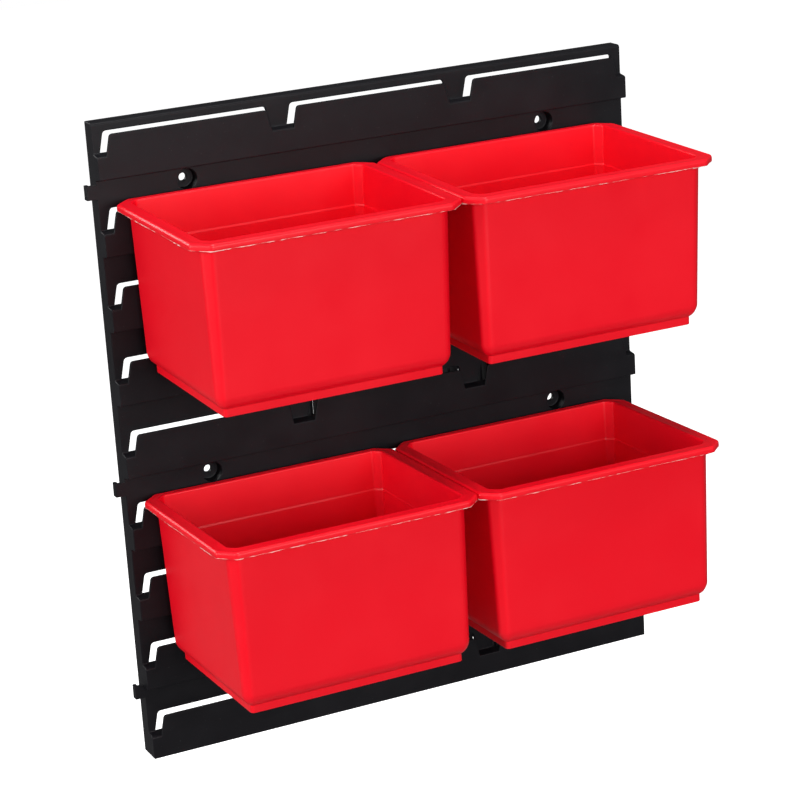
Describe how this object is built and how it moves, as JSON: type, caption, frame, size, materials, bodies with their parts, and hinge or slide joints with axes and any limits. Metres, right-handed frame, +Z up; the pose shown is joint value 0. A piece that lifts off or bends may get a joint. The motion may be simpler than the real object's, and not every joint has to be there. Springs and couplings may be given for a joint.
{
  "type": "louvred wall board with hanging bins",
  "caption": "Louvred black plastic wall board with rows of hanging tongues, carrying open red bins by their rear rims.",
  "frame": {"origin": "middle of the four-screw pattern, on the plane of the wall", "axes": "+Z up, +X to the right seen from the front, +Y into the wall; the front faces -Y"},
  "size_m": [0.3683, 0.1495, 0.4097],
  "materials": {
    "board_plastic": "satin moulded",
    "bin_plastic": "semi-gloss moulded"
  },
  "bodies": {
    "board": {"louvre_board": "board_plastic"},
    "bin_upper_left": {"bin_upper_left": "bin_plastic"},
    "bin_upper_right": {"bin_upper_right": "bin_plastic"},
    "bin_lower_left": {"bin_lower_left": "bin_plastic"},
    "bin_lower_right": {"bin_lower_right": "bin_plastic"}
  },
  "joints": [
    {"name": "bin_upper_left_lift", "type": "slide", "parent": "board", "child": "bin_upper_left", "axis": [0, 0, 1], "range_m": [0, 0.012]},
    {"name": "bin_upper_right_lift", "type": "slide", "parent": "board", "child": "bin_upper_right", "axis": [0, 0, 1], "range_m": [0, 0.012]},
    {"name": "bin_lower_left_lift", "type": "slide", "parent": "board", "child": "bin_lower_left", "axis": [0, 0, 1], "range_m": [0, 0.012]},
    {"name": "bin_lower_right_lift", "type": "slide", "parent": "board", "child": "bin_lower_right", "axis": [0, 0, 1], "range_m": [0, 0.012]}
  ]
}
